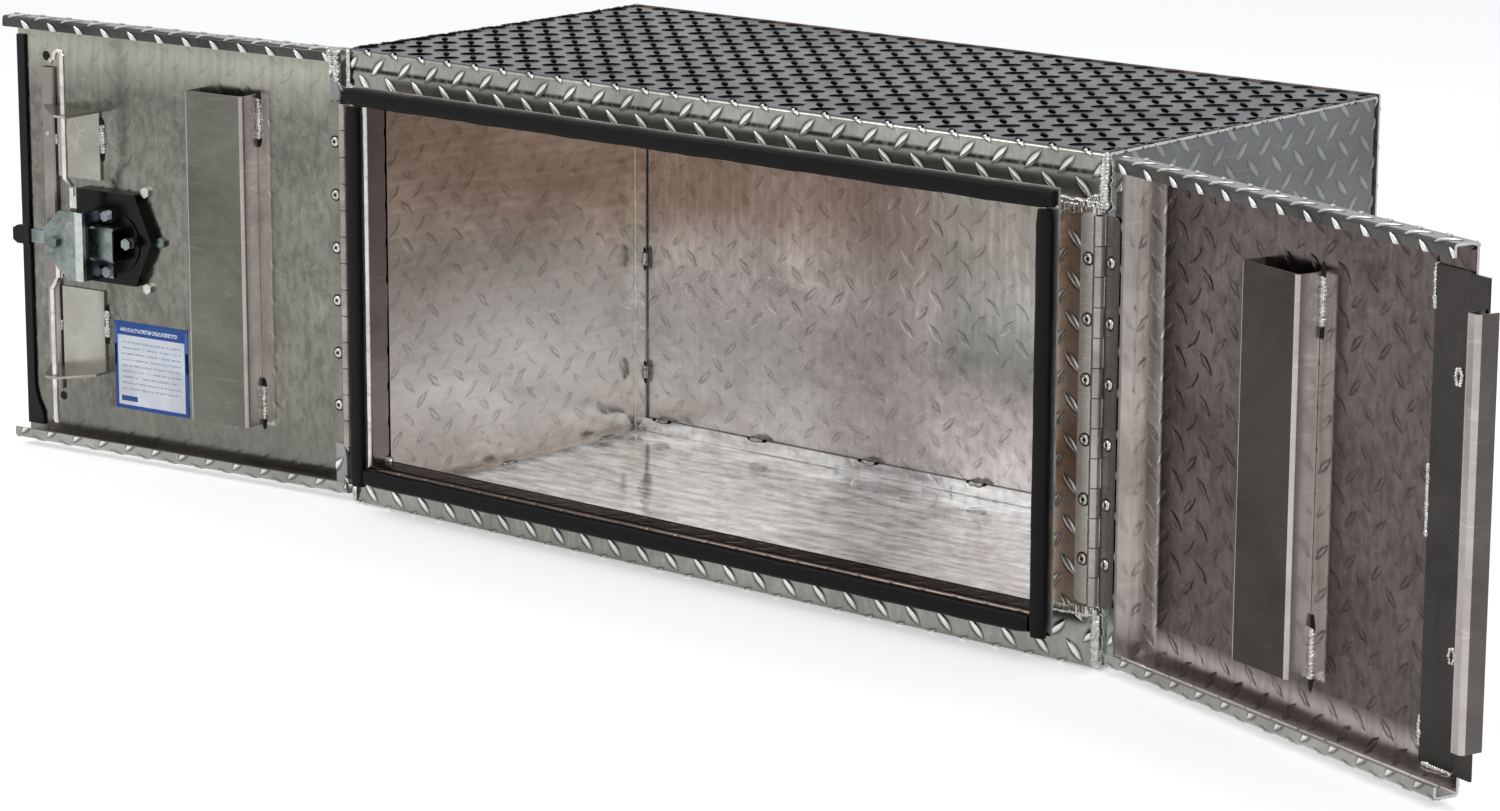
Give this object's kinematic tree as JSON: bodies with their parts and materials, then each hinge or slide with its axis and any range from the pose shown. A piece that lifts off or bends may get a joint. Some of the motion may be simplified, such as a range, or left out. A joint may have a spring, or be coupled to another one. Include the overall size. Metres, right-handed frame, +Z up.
{
  "type": "underbody truck tool box",
  "caption": "Tread-plate tool box for under a truck bed, with two barn doors on piano hinges, a sponge door seal and a paddle latch with cam and rods.",
  "frame": {"origin": "centre of the box's underside, midway between its sides and between its front frame and back panel", "axes": "+Z up, +X to the right as seen from the front, -Y out of the door opening"},
  "size_m": [1.8345, 0.5802, 0.4572],
  "materials": {
    "tread": "bright rolled tread plate, smooth inside",
    "plain_sheet": "satin mill finish",
    "sponge": "closed-cell sponge",
    "rubber": "solid rubber",
    "steel": "satin",
    "zinc": "bluish zinc plate",
    "black_steel": "black coat",
    "card": "printed film, no lettering"
  },
  "bodies": {
    "box": {"roof_panel": "tread", "floor_panel": "tread", "left_side_panel": "tread", "right_side_panel": "tread", "back_panel": "tread", "seal_top": "sponge", "seal_bottom": "sponge", "seal_left": "sponge", "seal_right": "sponge", "left_hinge_box_leaf": "steel", "left_hinge_pin": "steel", "right_hinge_box_leaf": "steel", "right_hinge_pin": "steel"},
    "left_door": {"left_hinge_door_leaf": "steel", "left_door_pan": "tread", "left_door_stiffener": "plain_sheet", "left_edge_rubber": "rubber", "left_edge_strip": "plain_sheet", "blank_card": "card", "latch_tray": "black_steel", "paddle_pin": "steel", "latch_bracket": "zinc", "cam_pivot_bolt": "steel", "upper_rod_guide": "plain_sheet", "lower_rod_guide": "plain_sheet", "tray_bolt_hinge_upper": "steel", "tray_bolt_hinge_lower": "steel", "tray_bolt_point": "steel", "bracket_bolt_upper": "steel", "bracket_bolt_lower": "steel", "lever_stop_bolt": "steel"},
    "right_door": {"right_hinge_door_leaf": "steel", "right_door_pan": "tread", "right_door_stiffener": "plain_sheet", "overlap_plate": "plain_sheet", "strike_channel": "plain_sheet"},
    "paddle": {"paddle_handle": "black_steel", "lock_cylinder": "steel"},
    "key_plug": {"key_plug": "steel"},
    "drive_lever": {"drive_lever": "zinc"},
    "cam": {"latch_cam": "zinc", "cam_rubber_tip": "rubber"},
    "upper_rod": {"upper_rod": "steel"},
    "lower_rod": {"lower_rod": "steel"}
  },
  "joints": [
    {"name": "left_door_swing", "type": "hinge", "parent": "box", "child": "left_door", "pos_m": [-0.4552, -0.21855, 0.2316], "axis": [0, 0, 1], "range_deg": [-6.6, 173.4], "deforming": ["seal_top", "seal_bottom"]},
    {"name": "right_door_swing", "type": "hinge", "parent": "box", "child": "right_door", "pos_m": [0.4552, -0.21855, 0.2316], "axis": [0, 0, -1], "range_deg": [-18.5, 161.5], "deforming": ["seal_top", "seal_bottom"]},
    {"name": "paddle_pull", "type": "hinge", "parent": "left_door", "child": "paddle", "pos_m": [-0.80658, -0.22679, 0.228], "axis": [0, 0, 1], "range_deg": [0, 35], "stiffness_Nm_per_rad": 0.8, "springref_deg": -11.46},
    {"name": "key_turn", "type": "hinge", "parent": "paddle", "child": "key_plug", "pos_m": [-0.76018, -0.21891, 0.246], "axis": [-0.1149, 0.9934, 0], "range_deg": [0, 90]},
    {"name": "lever_draw", "type": "slide", "parent": "left_door", "child": "drive_lever", "axis": [0.9934, 0.1149, 0], "range_m": [0, 0.008]},
    {"name": "cam_turn", "type": "hinge", "parent": "left_door", "child": "cam", "pos_m": [-0.82278, -0.26078, 0.228], "axis": [-0.1149, 0.9934, 0], "range_deg": [0, 60]},
    {"name": "upper_rod_draw", "type": "slide", "parent": "left_door", "child": "upper_rod", "axis": [0, 0, -1], "range_m": [0, 0.021]},
    {"name": "lower_rod_draw", "type": "slide", "parent": "left_door", "child": "lower_rod", "axis": [0, 0, 1], "range_m": [0, 0.0146]}
  ],
  "couplings": [
    {"joint": "lever_draw", "follows": "paddle_pull", "m_per_rad": 0.01309},
    {"joint": "cam_turn", "follows": "paddle_pull", "ratio": 1.714},
    {"joint": "upper_rod_draw", "follows": "paddle_pull", "m_per_rad": 0.03437},
    {"joint": "lower_rod_draw", "follows": "paddle_pull", "m_per_rad": 0.0239}
  ]
}
